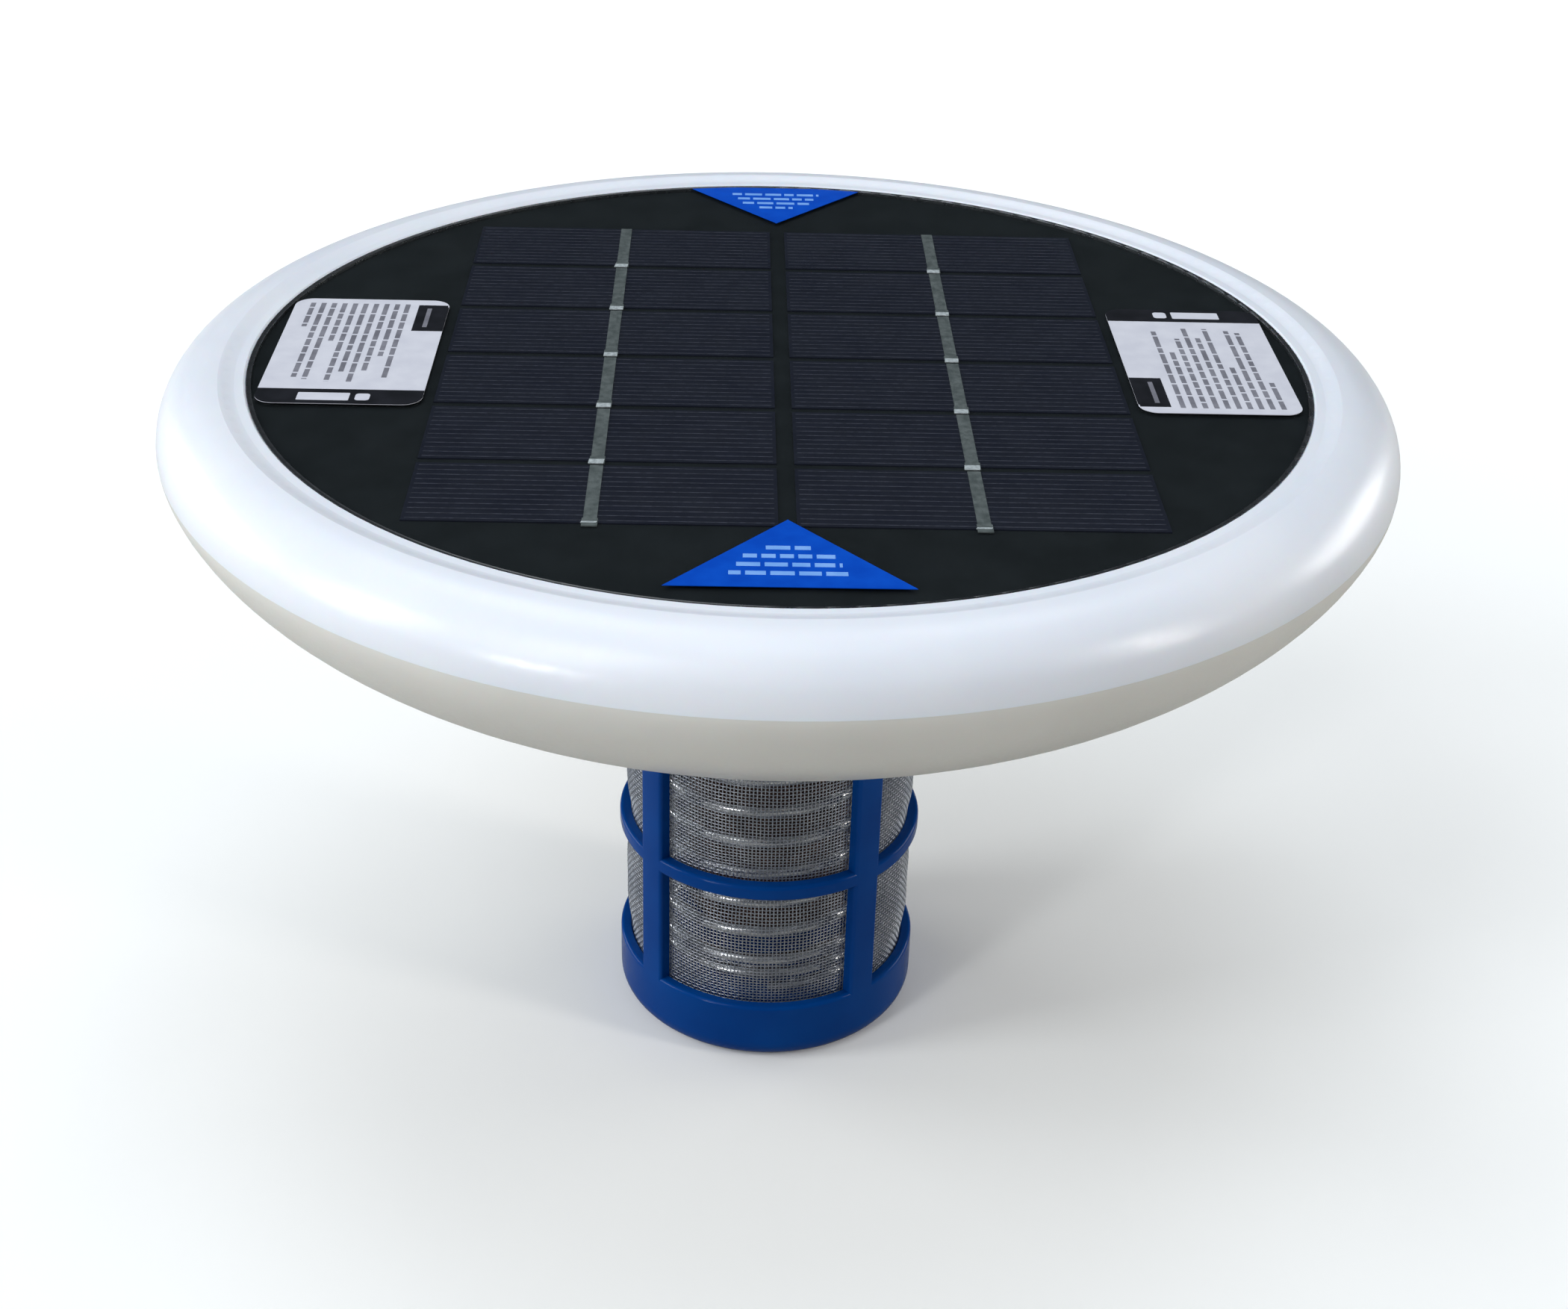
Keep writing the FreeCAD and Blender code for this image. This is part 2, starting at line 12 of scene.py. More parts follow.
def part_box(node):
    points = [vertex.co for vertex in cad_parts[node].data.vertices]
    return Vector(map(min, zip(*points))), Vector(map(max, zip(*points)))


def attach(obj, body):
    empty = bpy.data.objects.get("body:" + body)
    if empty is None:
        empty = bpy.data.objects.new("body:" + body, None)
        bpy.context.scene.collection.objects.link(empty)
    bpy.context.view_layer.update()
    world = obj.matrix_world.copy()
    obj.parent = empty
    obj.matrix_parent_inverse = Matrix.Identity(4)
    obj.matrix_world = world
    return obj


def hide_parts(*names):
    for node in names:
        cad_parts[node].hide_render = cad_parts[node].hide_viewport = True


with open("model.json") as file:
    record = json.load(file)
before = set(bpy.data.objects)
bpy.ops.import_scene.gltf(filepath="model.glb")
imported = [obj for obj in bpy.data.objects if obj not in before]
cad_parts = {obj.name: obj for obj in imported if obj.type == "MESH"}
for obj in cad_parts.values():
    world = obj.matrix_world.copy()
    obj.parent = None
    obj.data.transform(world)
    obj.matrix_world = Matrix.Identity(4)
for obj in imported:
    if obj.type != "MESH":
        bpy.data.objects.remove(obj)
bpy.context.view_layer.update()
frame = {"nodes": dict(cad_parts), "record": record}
nodes = frame["nodes"]
MM = 0.001


# ---- node helpers ----
class Look:
    """A material being put together: its Principled shader and a few shorthands for procedural detail."""

    def __init__(self, name, color, roughness, metallic=0.0, **inputs):
        self.material = bpy.data.materials.new(name)
        self.material.use_nodes = True
        self.tree = self.material.node_tree
        self.shader = self.tree.nodes["Principled BSDF"]
        self.place = self.node("ShaderNodeTexCoord").outputs["Object"]
        self.shader.inputs["Base Color"].default_value = (*color, 1.0)
        self.shader.inputs["Roughness"].default_value = roughness
        self.shader.inputs["Metallic"].default_value = metallic
        for key, value in inputs.items():
            self.shader.inputs[key.replace("_", " ")].default_value = value

    def node(self, kind, **settings):
        made = self.tree.nodes.new(kind)
        for key, value in settings.items():
            setattr(made, key, value)
        return made

    def link(self, source, target):
        self.tree.links.new(source, target)

    def stretched(self, scale):
        """Object coordinates in millimetres, scaled per axis."""
        mapping = self.node("ShaderNodeMapping")
        mapping.inputs["Scale"].default_value = [s / MM for s in scale]
        self.link(self.place, mapping.inputs["Vector"])
        return mapping.outputs["Vector"]

    def noise(self, size, detail=3.0, roughness=0.5, stretch=(1, 1, 1)):
        """Noise whose features are about size millimetres across."""
        texture = self.node("ShaderNodeTexNoise")
        texture.inputs["Scale"].default_value = 1.0 / size
        texture.inputs["Detail"].default_value = detail
        texture.inputs["Roughness"].default_value = roughness
        self.link(self.stretched(stretch), texture.inputs["Vector"])
        return texture.outputs["Fac"]

    def ramp(self, value, low, high, a, b):
        """Value mapped from low..high to a..b, clamped."""
        ranged = self.node("ShaderNodeMapRange", clamp=True)
        for key, number in (("From Min", low), ("From Max", high), ("To Min", a), ("To Max", b)):
            ranged.inputs[key].default_value = number
        self.link(value, ranged.inputs["Value"])
        return ranged.outputs["Result"]

    def blend(self, factor, a, b):
        mixed = self.node("ShaderNodeMix", data_type="RGBA")
        for key, color in (("A", a), ("B", b)):
            socket = [s for s in mixed.inputs if s.name == key and s.type == "RGBA"][0]
            if isinstance(color, tuple):
                socket.default_value = (*color, 1.0)
            else:
                self.link(color, socket)
        self.link(factor, mixed.inputs["Factor"])
        return [s for s in mixed.outputs if s.type == "RGBA"][0]

    def color(self, source):
        self.link(source, self.shader.inputs["Base Color"])

    def rough(self, source):
        self.link(source, self.shader.inputs["Roughness"])

    def bump(self, *layers):
        """Adds bump layers, each (height, strength, distance in millimetres)."""
        normal = None
        for height, strength, distance in layers:
            bump = self.node("ShaderNodeBump")
            bump.inputs["Strength"].default_value = strength
            bump.inputs["Distance"].default_value = distance * MM
            self.link(height, bump.inputs["Height"])
            if normal is not None:
                self.link(normal, bump.inputs["Normal"])
            normal = bump.outputs["Normal"]
        self.link(normal, self.shader.inputs["Normal"])

    def mottle(self, size, low, high, amount=(0.35, 0.65)):
        """Colour that drifts between two tones over patches of that size."""
        patches = self.noise(size, 4.0)
        self.color(self.blend(self.ramp(patches, *amount, 0.0, 1.0), low, high))


def white_plastic(name, low, high):
    look = Look(name, low, 0.34, Coat_Weight=0.25, Coat_Roughness=0.22)
    look.shader.inputs["Subsurface Weight"].default_value = 0.12
    look.shader.inputs["Subsurface Scale"].default_value = 2.0 * MM
    look.mottle(38.0, low, high)
    scuffs = look.noise(0.8, 3.0, stretch=(1, 0.12, 1))
    look.rough(look.ramp(scuffs, 0.35, 0.75, 0.28, 0.42))
    look.bump((look.noise(24.0, 2.0), 0.25, 0.6), (look.noise(0.45, 2.0), 0.06, 0.05))
    return look.material


def board_black():
    look = Look("board_black", (0.012, 0.015, 0.016), 0.6, Specular_IOR_Level=0.1)
    look.mottle(9.0, (0.0050, 0.0070, 0.0085), (0.0080, 0.0105, 0.0125))
    look.bump((look.noise(0.6, 2.0), 0.1, 0.05))
    return look.material


def silicon():
    look = Look("silicon", (0.011, 0.012, 0.027), 0.42, Specular_IOR_Level=0.2)
    grain = look.noise(2.2, 5.0, 0.7, stretch=(0.25, 1, 1))
    streaks = look.ramp(grain, 0.3, 0.7, 0.0, 1.0)
    look.color(look.blend(streaks, (0.0046, 0.0057, 0.0135), (0.0080, 0.0097, 0.0208)))
    look.rough(look.ramp(look.noise(6.0, 2.0), 0.3, 0.7, 0.36, 0.5))
    return look.material


def silver_print():
    look = Look("silver_print", (0.045, 0.047, 0.07), 0.5, 0.3)
    look.mottle(1.2, (0.026, 0.027, 0.042), (0.060, 0.060, 0.085), (0.40, 0.6))
    return look.material


def tab_ribbon():
    look = Look("tab_ribbon", (0.13, 0.145, 0.145), 0.42, 0.35)
    look.mottle(1.6, (0.10, 0.115, 0.115), (0.17, 0.185, 0.185))
    look.rough(look.ramp(look.noise(0.5, 3.0, stretch=(1, 0.2, 1)), 0.3, 0.7, 0.3, 0.5))
    look.bump((look.noise(1.5, 3.0), 0.35, 0.12))
    return look.material


def solder():
    look = Look("solder", (0.5, 0.5, 0.5), 0.35, 0.2)
    look.mottle(0.7, (0.42, 0.44, 0.46), (0.70, 0.72, 0.74))
    look.bump((look.noise(0.6, 3.0), 0.5, 0.15))
    return look.material


def clear_glaze():
    """A clear cast layer: what is under it shows, with a soft skin reflection on top."""
    look = Look("clear_glaze", (1, 1, 1), 0.3)
    tree = look.tree
    output = [n for n in tree.nodes if n.type == "OUTPUT_MATERIAL"][0]
    tree.nodes.remove(look.shader)
    through = look.node("ShaderNodeBsdfTransparent")
    through.inputs["Color"].default_value = (0.97, 0.985, 0.985, 1)
    skin = look.node("ShaderNodeBsdfGlossy")
    look.link(look.ramp(look.noise(14.0, 3.0), 0.3, 0.7, 0.16, 0.26), skin.inputs["Roughness"])
    fresnel = look.node("ShaderNodeFresnel")
    fresnel.inputs["IOR"].default_value = 1.38
    bump = look.node("ShaderNodeBump")
    bump.inputs["Strength"].default_value = 0.15
    bump.inputs["Distance"].default_value = 0.08 * MM
    look.link(look.noise(3.0, 2.0), bump.inputs["Height"])
    look.link(bump.outputs["Normal"], skin.inputs["Normal"])
    mix = look.node("ShaderNodeMixShader")
    weaker = look.node("ShaderNodeMath", operation="MULTIPLY")
    weaker.inputs[1].default_value = 0.035
    look.link(fresnel.outputs["Fac"], weaker.inputs[0])
    look.link(weaker.outputs[0], mix.inputs["Fac"])
    look.link(through.outputs[0], mix.inputs[1])
    look.link(skin.outputs[0], mix.inputs[2])
    look.link(mix.outputs[0], output.inputs["Surface"])
    return look.material


def black_sealant():
    look = Look("black_sealant", (0.02, 0.022, 0.025), 0.25, Coat_Weight=0.4, Coat_Roughness=0.15)
    look.rough(look.ramp(look.noise(2.5, 3.0), 0.3, 0.7, 0.18, 0.4))
    look.bump((look.noise(14.0, 2.0), 0.3, 0.25))
    return look.material


def film(name, low, high, roughness=0.42):
    """Printed label film."""
    look = Look(name, low, roughness, Specular_IOR_Level=0.07)
    look.mottle(5.0, low, high)
    look.bump((look.noise(7.0, 2.0), 0.12, 0.12), (look.noise(0.35, 2.0), 0.08, 0.03))
    return look.material


def moulded(name, low, high, roughness=0.4, patch=16.0, grain=0.08, specular=0.5):
    """Moulded plastic: slight colour drift, fine grain and soft scuffs."""
    look = Look(name, low, roughness, Specular_IOR_Level=specular)
    look.mottle(patch, low, high)
    look.rough(look.ramp(look.noise(3.0, 2.0), 0.3, 0.75, roughness - 0.03, roughness + 0.06))
    look.bump((look.noise(7.0, 2.0), 0.2, 0.25), (look.noise(0.35, 2.0), grain, 0.05))
    return look.material


def metal(name, low, high, roughness, brush=(1, 1, 1), size=0.8, depth=0.05):
    """Bare metal with fine marks; brush stretches them along an axis."""
    look = Look(name, low, roughness, 1.0)
    look.mottle(6.0, low, high)
    marks = look.noise(size, 4.0, 0.6, stretch=brush)
    look.rough(look.ramp(marks, 0.3, 0.7, roughness * 0.7, roughness * 1.5))
    look.bump((marks, 0.2, depth))
    return look.material


def copper():
    """Weathered copper: brown oxide with darker spots and a little green."""
    look = Look("copper", (0.2, 0.09, 0.06), 0.5, 0.6)
    tarnish = look.ramp(look.noise(5.0, 5.0, 0.65), 0.35, 0.65, 0.0, 1.0)
    spots = look.ramp(look.noise(1.2, 3.0), 0.58, 0.7, 0.0, 0.6)
    base = look.blend(tarnish, (0.035, 0.022, 0.020), (0.115, 0.060, 0.045))
    look.color(look.blend(spots, base, (0.030, 0.045, 0.038)))
    look.rough(look.ramp(look.noise(2.0, 4.0), 0.3, 0.7, 0.35, 0.65))
    look.bump((look.noise(0.9, 4.0), 0.4, 0.15))
    return look.material


LOOKS = {
    "white_plastic": white_plastic("white_plastic", (0.805, 0.835, 0.915), (0.845, 0.868, 0.94)),
    # Painted shade: a darker, warmer copy of the ring's white plastic for the lower shell, standing in for
    # the shade on its downward-facing underside
    "bowl_painted_shade": white_plastic("bowl_painted_shade", (0.73, 0.715, 0.685), (0.77, 0.755, 0.725)),
    "hub_plastic": moulded("hub_plastic", (0.80, 0.82, 0.84), (0.85, 0.86, 0.88), 0.38),
    "board_black": board_black(),
    "silicon": silicon(),
    "silver_print": silver_print(),
    "tab_ribbon": tab_ribbon(),
    "solder": solder(),
    "clear_glaze": clear_glaze(),
    "black_sealant": black_sealant(),
    "label_white": film("label_white", (0.60, 0.605, 0.68), (0.655, 0.66, 0.73)),
    "label_black": film("label_black", (0.010, 0.011, 0.014), (0.016, 0.017, 0.022), 0.35),
    "label_grey": film("label_grey", (0.16, 0.16, 0.19), (0.24, 0.24, 0.28)),
    "label_blue": film("label_blue", (0.0, 0.060, 0.47), (0.001, 0.075, 0.53)),
    "label_light_blue": film("label_light_blue", (0.16, 0.36, 0.80), (0.22, 0.42, 0.85)),
    "box_plastic": moulded("box_plastic", (0.018, 0.018, 0.018), (0.028, 0.028, 0.028), 0.45),
    "diode_body": moulded("diode_body", (0.015, 0.015, 0.016), (0.024, 0.024, 0.024), 0.4),
    "red_wire": moulded("red_wire", (0.50, 0.02, 0.015), (0.58, 0.03, 0.02), 0.45, 8.0),
    "black_wire": moulded("black_wire", (0.015, 0.015, 0.015), (0.025, 0.025, 0.025), 0.45, 8.0),
    "gasket_rubber": moulded("gasket_rubber", (0.02, 0.02, 0.02), (0.035, 0.035, 0.035), 0.6, 6.0, 0.2),
    "blue_plastic": moulded("blue_plastic", (0.0, 0.040, 0.215), (0.0, 0.050, 0.25), 0.17, 22.0, 0.02, 0.09),
    "stainless": metal("stainless", (0.80, 0.81, 0.83), (0.90, 0.91, 0.92), 0.20, (1, 1, 0.4), depth=0.02),
    "tinned_metal": metal("tinned_metal", (0.62, 0.62, 0.60), (0.70, 0.70, 0.68), 0.32),
    "brass": metal("brass", (0.64, 0.43, 0.17), (0.74, 0.52, 0.24), 0.28),
    "copper": copper(),
    "screen_weave": metal(
        "screen_weave", (0.32, 0.345, 0.40), (0.44, 0.465, 0.52), 0.36, size=0.5, depth=0.02,
    ),
}
SLOTS = {part["node"]: part["material_slot"] for part in frame["record"]["subparts"]}
for node_name, node_object in nodes.items():
    node_object.data.materials.clear()
    node_object.data.materials.append(LOOKS[SLOTS[node_name]])
# The lower shell is the same white plastic as the ring; it takes the darker copy, which is painted shade
nodes["float_lower_shell"].data.materials[0] = LOOKS["bowl_painted_shade"]


# ---- mesh helpers ----
def piece(name, points, faces, look, body, smooth=False):
    """A mesh object from points in metres, riding on its body."""
    mesh = bpy.data.meshes.new(name)
    mesh.from_pydata(points, [], faces)
    mesh.validate()
    mesh.materials.append(LOOKS[look])
    for polygon in mesh.polygons:
        polygon.use_smooth = smooth
    made = bpy.data.objects.new(name, mesh)
    bpy.context.scene.collection.objects.link(made)
    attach(made, body)
    return made


def turned(name, section, look, body, sides=384):
    """A closed turned piece from its (radius, height) half-section in millimetres."""
    points, rings = [], []
    for radius, height in section:
        if radius == 0:
            rings.append([len(points)] * sides)
            points.append((0, 0, height * MM))
            continue
        rings.append(list(range(len(points), len(points) + sides)))
        for i in range(sides):
            angle = 2 * math.pi * i / sides
            points.append((radius * math.cos(angle) * MM, radius * math.sin(angle) * MM, height * MM))
    faces = []
    for ring, following in zip(rings, rings[1:] + rings[:1]):
        for i in range(sides):
            j = (i + 1) % sides
            corners = list(dict.fromkeys([ring[i], ring[j], following[j], following[i]]))
            if len(corners) > 2:
                faces.append(corners)
    return piece(name, points, faces, look, body, smooth=True)


class Prisms:
    """A collection of flat upright prisms, gathered into one mesh."""

    def __init__(self):
        self.points, self.faces = [], []

    def add(self, outline, bottom, top):
        """Outline is counter-clockwise (x, y) pairs; it, bottom and top are in millimetres."""
        first, count = len(self.points), len(outline)
        for height in (bottom, top):
            self.points += [(x * MM, y * MM, height * MM) for x, y in outline]
        self.faces.append([first + i for i in reversed(range(count))])
        self.faces.append([first + count + i for i in range(count)])
        for i in range(count):
            j = (i + 1) % count
            self.faces.append([first + i, first + j, first + count + j, first + count + i])

    def bar(self, x0, x1, y0, y1, bottom, top):
        self.add([(x0, y0), (x1, y0), (x1, y1), (x0, y1)], bottom, top)

    def make(self, name, look, body):
        return piece(name, self.points, self.faces, look, body)


# ---- solar cells: printed fingers and soldered bridges ----
CELL_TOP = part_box("solar_cell_left_1")[1].z / MM
FINGERS = 12
FINGER_INSET, FINGER_HALF_WIDTH, FINGER_HALF_HEIGHT = 0.7, 0.14, 0.02
BRIDGE_BOTTOM, BRIDGE_TOP = 0.1, 0.27      # above the cell
BRIDGE_HALF_WIDTH, BRIDGE_OVERLAP = 1.45, 0.25
BRIDGE_DEPTH, FRONT_BRIDGE_DEPTH = 1.7, 0.35
chance = random.Random(7)
for side in ("left", "right"):
    fingers = Prisms()
    bridges = Prisms()
    for row in range(1, 7):
        low, high = (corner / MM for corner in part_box("solar_cell_%s_%d" % (side, row)))
        spacing = (high.y - low.y) / FINGERS
        for line in range(FINGERS):
            y = low.y + spacing * (line + 0.5)
            fingers.bar(
                low.x + FINGER_INSET, high.x - FINGER_INSET, y - FINGER_HALF_WIDTH, y + FINGER_HALF_WIDTH,
                CELL_TOP - FINGER_HALF_HEIGHT, CELL_TOP + FINGER_HALF_HEIGHT,
            )
        middle = (low.x + high.x) / 2 + chance.uniform(-0.12, 0.12)
        wide = BRIDGE_HALF_WIDTH + chance.uniform(0.0, 0.1)
        skew = chance.uniform(0.05, 0.25)
        depth = BRIDGE_DEPTH if row > 1 else FRONT_BRIDGE_DEPTH
        bridges.add(
            [(middle - wide - skew, low.y - depth), (middle + wide - skew, low.y - depth),
             (middle + wide, low.y + BRIDGE_OVERLAP), (middle - wide, low.y + BRIDGE_OVERLAP)],
            CELL_TOP + BRIDGE_BOTTOM, CELL_TOP + BRIDGE_TOP,
        )
    fingers.make("cell_fingers_" + side, "silver_print", "float")
    bridges.make("cell_bridges_" + side, "solder", "float")


# ---- glaze: a clear skin over the cells ----
SKIN_GAP = 0.06
SKIN_THICKNESS = 0.20


def glaze_skin():
    """The cast layer's upper face with its raised, rounded edge, as a thin closed disc."""
    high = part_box("panel_glaze")[1] / MM
    top, radius = high.z, high.x - SKIN_GAP
    bottom = top - SKIN_THICKNESS
    section = [
        (radius, bottom), (radius, top - 0.02), (radius - 0.12, top + 0.05), (radius - 0.45, top + 0.09),
        (radius - 0.85, top + 0.07), (radius - 1.3, top + 0.02), (radius - 1.7, top), (radius - 2.4, top),
        (0.0, top), (0.0, bottom), (radius - 0.6, bottom),
    ]
    skin = turned("panel_skin", section, "clear_glaze", "float")
    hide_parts("panel_glaze")


glaze_skin()


# ---- labels: generic print, with plain bars where printed lines would be ----
PRINT_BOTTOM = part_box("info_label_left")[1].z / MM - 0.01
PRINT_TOP = PRINT_BOTTOM + 0.03
MARK_TOP = PRINT_TOP + 0.02
PANEL_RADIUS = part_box("panel_glaze")[1].x / MM - 0.2
LABEL_HALF_WIDTH, LABEL_HALF_LENGTH = 17.2, 29.0
LABEL_CORNER = 4.0
BAND_EDGE = -21.7
LINE_PITCH, LINE_HALF_HEIGHT = 2.35, 0.55
FIRST_LINE, LINE_START = 7.9, 26.3
LINE_LENGTHS = (42, 30, 38, 44, 39, 44, 22, 43, 42, 14)
LINE_BREAK = 0.7
MARK_BOTTOM = PRINT_TOP - 0.01
TRIANGLE_LINE_HALF_LENGTHS = (4.2, 8.4, 9.6, 11.0)
TRIANGLE_FIRST_LINE, TRIANGLE_LINE_PITCH, TRIANGLE_LINE_HALF_HEIGHT = 11.5, 3.3, 0.75
TRIANGLE_LINE_BREAK = 0.8


def clipped(x, y, radius=PANEL_RADIUS):
    """The point, pulled in to the radius when it lies outside."""
    away = math.hypot(x, y)
    return (x, y) if away <= radius else (x * radius / away, y * radius / away)


def rounded_outline(x0, x1, y0, y1, radii, steps=8):
    """Counter-clockwise rounded rectangle; radii are for the corners from (x0, y0) round."""
    corners = ((x0, y0, 180), (x1, y0, 270), (x1, y1, 0), (x0, y1, 90))
    outline = []
    for (x, y, start), radius in zip(corners, radii):
        cx = x + radius if x == x0 else x - radius
        cy = y + radius if y == y0 else y - radius
        for step in range(steps + 1):
            angle = math.radians(start + 90.0 * step / steps)
            outline.append((cx + radius * math.cos(angle), cy + radius * math.sin(angle)))
            if radius == 0:
                break
    return outline


def info_print(name, node, half_turn):
    """The black band, tag, marks and bars of print on one label, the same way up or rotated half a turn."""
    low, high = (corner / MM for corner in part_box(node))
    centre_x = low.x + LABEL_HALF_WIDTH if half_turn else high.x - LABEL_HALF_WIDTH
    centre_y = (low.y + high.y) / 2
    sign = -1 if half_turn else 1

    def spot(x, y):
        return centre_x + sign * x, centre_y + sign * y

    def block(group, x0, x1, y0, y1, bottom, top, radii=(0, 0, 0, 0)):
        outline = [clipped(*spot(x, y)) for x, y in rounded_outline(x0, x1, y0, y1, radii)]
        group.add(outline, bottom, top)

    dark = Prisms()
    band_corners = (LABEL_CORNER, LABEL_CORNER, 0, 0)
    block(
        dark, -LABEL_HALF_WIDTH, LABEL_HALF_WIDTH, -LABEL_HALF_LENGTH, BAND_EDGE,
        PRINT_BOTTOM, PRINT_TOP, band_corners,
    )
    block(dark, 10.4, LABEL_HALF_WIDTH, 10.8, 25.0, PRINT_BOTTOM, PRINT_TOP)
    block(dark, 10.4, 16.9, 24.9, 26.0, PRINT_BOTTOM, PRINT_TOP)
    dark.make(name + "_band", "label_black", "float")
    light = Prisms()
    block(light, -8.5, 2.2, -27.4, -23.6, MARK_BOTTOM, MARK_TOP, (0.3, 0.3, 0.3, 0.3))
    block(light, 3.4, 6.4, -27.2, -23.8, MARK_BOTTOM, MARK_TOP, (0.8, 0.8, 0.8, 0.8))
    light.make(name + "_marks", "label_white", "float")
    bars = Prisms()
    block(bars, 12.5, 13.5, 13.0, 24.0, MARK_BOTTOM, MARK_TOP)
    for row, length in enumerate(LINE_LENGTHS):
        x = FIRST_LINE - row * LINE_PITCH
        y, stop = LINE_START, LINE_START - length
        while y > stop:
            end = max(y - chance.uniform(2.4, 6.5), stop)
            block(bars, x - LINE_HALF_HEIGHT, x + LINE_HALF_HEIGHT, end, y, PRINT_BOTTOM, PRINT_TOP)
            y = end - LINE_BREAK
    bars.make(name + "_bars", "label_grey", "float")


def triangle_print(end):
    """Bars of print on one triangle, in lines that widen away from its tip."""
    low, high = (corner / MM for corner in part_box("triangle_label_" + end))
    sign, tip = (1, low.y) if end == "rear" else (-1, -high.y)
    bars = Prisms()
    for row, half in enumerate(TRIANGLE_LINE_HALF_LENGTHS):
        y = sign * (tip + TRIANGLE_FIRST_LINE + row * TRIANGLE_LINE_PITCH)
        x = -half
        while x < half:
            stop = min(x + chance.uniform(2.0, 4.6), half)
            bars.bar(
                x, stop, y - TRIANGLE_LINE_HALF_HEIGHT, y + TRIANGLE_LINE_HALF_HEIGHT,
                PRINT_BOTTOM, PRINT_TOP,
            )
            x = stop + TRIANGLE_LINE_BREAK
    bars.make("triangle_bars_" + end, "label_light_blue", "float")


info_print("info_print_left", "info_label_left", False)
info_print("info_print_right", "info_label_right", True)
triangle_print("front")
triangle_print("rear")


# ---- woven screen ----
def smoothstep(t):
    t = np.clip(t, 0.0, 1.0)
    return t * t * (3 - 2 * t)


POST_ANGLE = 39.0             # of the first of the frame's four posts, in degrees
WIRE_RADIUS = 0.145
PITCH = 0.87
SCREEN_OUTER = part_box("mesh_screen")[1].x / MM
SCREEN_LOW, SCREEN_HIGH = 12.8, 87.4
WINDOWS = ((15.8, 46.6), (50.4, 82.0))
PROUD = 0.95                  # how far the cloth stands out in the middle of a window
FLAT_ANGLE, RISE_ANGLE, RISE_HEIGHT = 6.5, 24.0, 9.0


def screen_radius(theta, z):
    """Middle of the cloth: against the frame, and standing a little proud in each window."""
    from_post = np.abs((np.degrees(theta) - POST_ANGLE + 45.0) % 90.0 - 45.0)
    across = smoothstep((from_post - FLAT_ANGLE) / RISE_ANGLE)
    up = np.zeros_like(z)
    for low, high in WINDOWS:
        inside = np.minimum(z - low, high - z) / RISE_HEIGHT
        up = np.maximum(up, smoothstep(inside))
    ripple = 0.10 * np.sin(theta * 23.0 + 0.13 * z) * np.sin(z * 0.31 + 2.0 * theta)
    return SCREEN_OUTER - 2.0 * WIRE_RADIUS - 0.02 + (PROUD + ripple) * across * up


def around_front(theta, radius):
    return radius * np.sin(theta), -radius * np.cos(theta)


def wires_along(lines, sides=6):
    """Points and faces of thin wires along polylines; lines is (wires, points, 3) in millimetres."""
    wires, count, _ = lines.shape
    ahead = np.gradient(lines, axis=1)
    ahead /= np.linalg.norm(ahead, axis=2, keepdims=True)
    out = lines * np.array([1.0, 1.0, 0.0])
    out /= np.linalg.norm(out, axis=2, keepdims=True)
    out -= ahead * (out * ahead).sum(2, keepdims=True)
    out /= np.linalg.norm(out, axis=2, keepdims=True)
    side = np.cross(ahead, out)
    ring = []
    for k in range(sides):
        angle = 2 * math.pi * (k + 0.5) / sides
        ring.append(lines + WIRE_RADIUS * (math.cos(angle) * out + math.sin(angle) * side))
    points = np.stack(ring, axis=2).reshape(-1, 3) * MM
    index = np.arange(wires * count * sides).reshape(wires, count, sides)
    a = index[:, :-1, :]
    b = np.roll(a, -1, axis=2)
    c = index[:, 1:, :]
    d = np.roll(c, -1, axis=2)
    quads = np.stack([a, b, d, c], axis=-1).reshape(-1, 4)
    return points, quads


def woven_screen():
    """Warp and weft that pass over and under each other, in four pieces from post to post."""
    around = round(2 * math.pi * SCREEN_OUTER / PITCH / 4) * 4
    levels = round((SCREEN_HIGH - SCREEN_LOW) / PITCH)
    quarter = around // 4
    start = math.radians(POST_ANGLE)
    z = SCREEN_LOW + (SCREEN_HIGH - SCREEN_LOW) * np.arange(levels + 1) / levels
    for panel in range(4):
        columns = np.arange(panel * quarter, (panel + 1) * quarter + 1)
        theta = start + 2 * np.pi * columns / around
        grid_theta, grid_z = np.meshgrid(theta, z, indexing="ij")
        over = np.where((columns[:, None] + np.arange(levels + 1)[None, :]) % 2 == 0, 1.0, -1.0)
        middle = screen_radius(grid_theta, grid_z)
        sets = []
        for sign in (1.0, -1.0):
            x, y = around_front(grid_theta, middle + sign * over * WIRE_RADIUS * 0.95)
            sets.append(np.stack([x, y, grid_z], axis=-1))
        warp = sets[0][:-1]
        weft = np.swapaxes(sets[1], 0, 1)
        warp_points, warp_quads = wires_along(warp)
        weft_points, weft_quads = wires_along(weft)
        points = np.vstack([warp_points, weft_points])
        quads = np.vstack([warp_quads, weft_quads + len(warp_points)])
        made = piece(
            "screen_weave_%d" % (panel + 1), points.tolist(), quads.tolist(),
            "screen_weave", "basket", smooth=True,
        )
        if panel == 0:
            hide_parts("mesh_screen")


woven_screen()


# ---- floor, light and camera ----
LIGHT_DISTANCE = 3.0


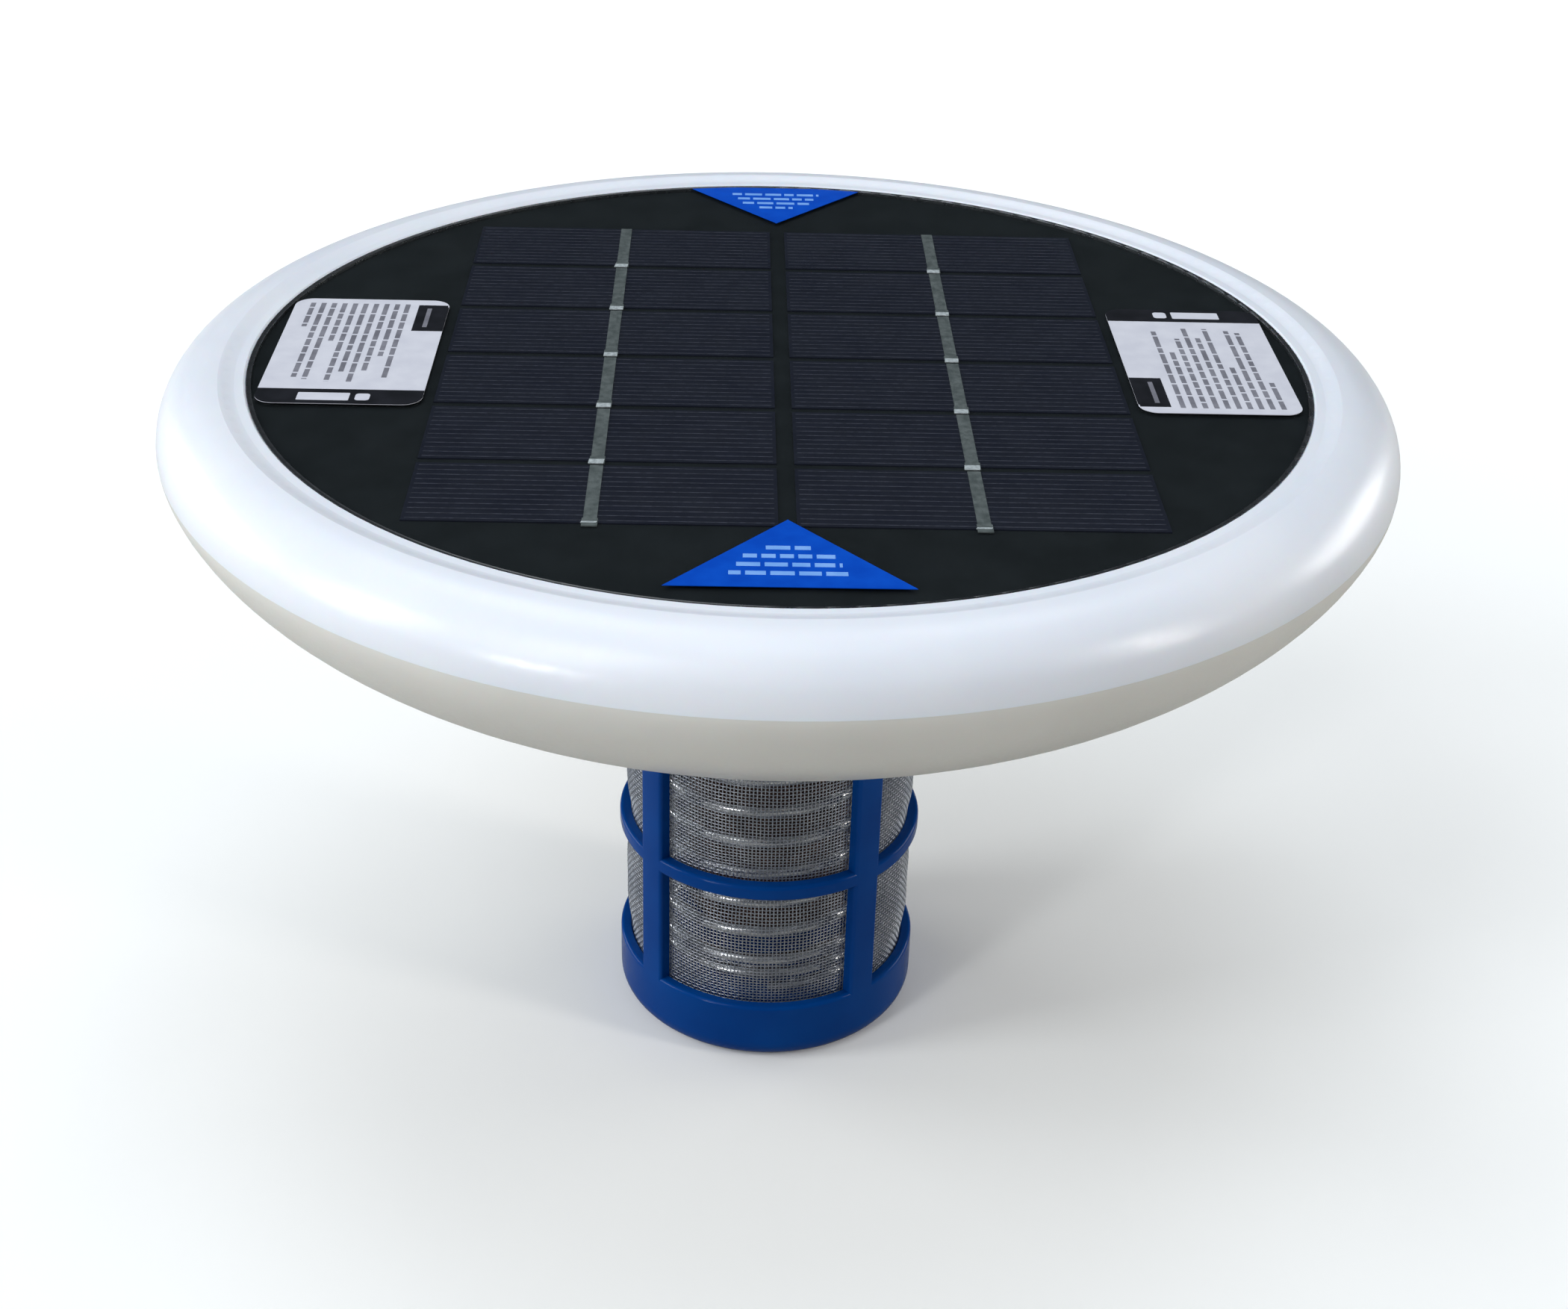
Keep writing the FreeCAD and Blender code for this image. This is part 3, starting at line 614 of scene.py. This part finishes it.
def floor():
    """Stage only. Pale paper that looks white to the camera and throws little light up at the object."""
    look = Look("floor_paper", (0.9, 0.9, 0.9), 0.9, Specular_IOR_Level=0.1)
    spread = look.node("ShaderNodeVectorMath", operation="LENGTH")
    look.link(look.place, spread.inputs[0])
    seen = look.node("ShaderNodeLightPath").outputs["Is Camera Ray"]
    look.color(look.blend(seen, (0.50, 0.49, 0.46), (0.95, 0.95, 0.945)))
    look.shader.inputs["Emission Color"].default_value = (1, 1, 1, 1)
    glow = look.node("ShaderNodeMath", operation="MULTIPLY")
    look.link(look.ramp(spread.outputs["Value"], 0.10, 2.6, 0.03, 0.95), glow.inputs[0])
    look.link(seen, glow.inputs[1])
    look.link(glow.outputs[0], look.shader.inputs["Emission Strength"])
    look.bump((look.noise(0.6, 2.0), 0.03, 0.05))
    mesh = bpy.data.meshes.new("floor")
    half = 9.0
    corners = [(-half, -half, 0), (half, -half, 0), (half, half, 0), (-half, half, 0)]
    mesh.from_pydata(corners, [], [(0, 1, 2, 3)])
    mesh.materials.append(look.material)
    made = bpy.data.objects.new("floor", mesh)
    bpy.context.scene.collection.objects.link(made)


def sky():
    """Stage only. Soft light from above that fades towards the horizon; the camera sees it paler."""
    world = bpy.data.worlds.new("studio")
    bpy.context.scene.world = world
    world.use_nodes = True
    tree = world.node_tree
    background = tree.nodes["Background"]
    place = tree.nodes.new("ShaderNodeTexCoord")
    split = tree.nodes.new("ShaderNodeSeparateXYZ")
    tree.links.new(place.outputs["Generated"], split.inputs[0])
    ranged = tree.nodes.new("ShaderNodeMapRange")
    ranged.interpolation_type = "SMOOTHSTEP"
    for key, number in (("From Min", 0.45), ("From Max", 0.95), ("To Min", 0.045), ("To Max", 0.60)):
        ranged.inputs[key].default_value = number
    tree.links.new(split.outputs["Z"], ranged.inputs["Value"])
    seen = tree.nodes.new("ShaderNodeLightPath").outputs["Is Camera Ray"]
    brighter = tree.nodes.new("ShaderNodeMath")
    brighter.operation = "MULTIPLY_ADD"
    tree.links.new(seen, brighter.inputs[0])
    brighter.inputs[1].default_value = 1.2
    tree.links.new(ranged.outputs["Result"], brighter.inputs[2])
    tree.links.new(brighter.outputs[0], background.inputs["Strength"])
    background.inputs["Color"].default_value = (0.84, 0.92, 1.0, 1)


def softbox(name, direction, size, power, color):
    """An area light; direction is (angle from the front towards the right, elevation) in degrees."""
    light = bpy.data.lights.new(name, "AREA")
    light.shape = "RECTANGLE"
    light.size, light.size_y = size
    light.energy = power
    light.color = color
    made = bpy.data.objects.new(name, light)
    bpy.context.scene.collection.objects.link(made)
    sideways, upwards = (math.radians(a) for a in direction)
    away = Vector((
        math.sin(sideways) * math.cos(upwards),
        -math.cos(sideways) * math.cos(upwards),
        math.sin(upwards),
    ))
    made.location = away * LIGHT_DISTANCE + Vector((0, 0, 0.1))
    made.rotation_mode = "QUATERNION"
    made.rotation_quaternion = (-away).to_track_quat("-Z", "Y")


def camera():
    """Looks down about 30 degrees from the front, with a small roll and yaw."""
    elevation, roll, yaw = (math.radians(a) for a in (29.90, 1.72, 1.74))
    distance, offset_x, offset_y = 0.501075, -0.000533, 0.06397
    right = Vector((1, 0, 0))
    up = Vector((0, math.sin(elevation), math.cos(elevation)))
    back = Vector((0, -math.cos(elevation), math.sin(elevation)))
    tilted_right = math.cos(roll) * right + math.sin(roll) * up
    tilted_up = -math.sin(roll) * right + math.cos(roll) * up
    centre = Vector((0, 0, CELL_TOP * MM))
    place = centre + Matrix.Rotation(-yaw, 3, "Z") @ (
        distance * back - offset_x * tilted_right - offset_y * tilted_up
    )
    axes = Matrix((tilted_right, tilted_up, back)).transposed()
    lens = bpy.data.cameras.new("camera")
    lens.lens = 53.18
    lens.sensor_width = 36.0
    lens.clip_start, lens.clip_end = 0.02, 40.0
    made = bpy.data.objects.new("camera", lens)
    bpy.context.scene.collection.objects.link(made)
    made.matrix_world = Matrix.Translation(place) @ (Matrix.Rotation(-yaw, 3, "Z") @ axes).to_4x4()
    bpy.context.scene.camera = made


floor()
sky()
softbox("key", (-42, 46), (0.9, 1.6), 20.0, (0.95, 0.985, 1.0))
softbox("window", (-42, 18), (0.36, 0.36), 17.0, (1.0, 1.0, 1.0))
softbox("side", (-78, 24), (0.75, 1.6), 31.0, (0.95, 0.99, 1.0))
softbox("wall_left", (-116, 12), (1.6, 0.8), 26.0, (0.97, 0.99, 1.0))
softbox("wall_right", (116, 12), (1.6, 0.8), 22.0, (1.0, 0.99, 0.96))
softbox("spark", (68, 24), (0.4, 1.3), 21.0, (1.0, 0.95, 0.88))
softbox("back_left", (-150, 62), (1.0, 1.25), 8.0, (0.95, 0.99, 1.0))
softbox("back_right", (150, 62), (1.0, 1.25), 6.0, (0.95, 0.99, 1.0))
softbox("top", (0, 89), (1.3, 1.3), 7.0, (0.80, 0.91, 1.0))
camera()
bpy.context.scene.view_settings.view_transform = "Standard"
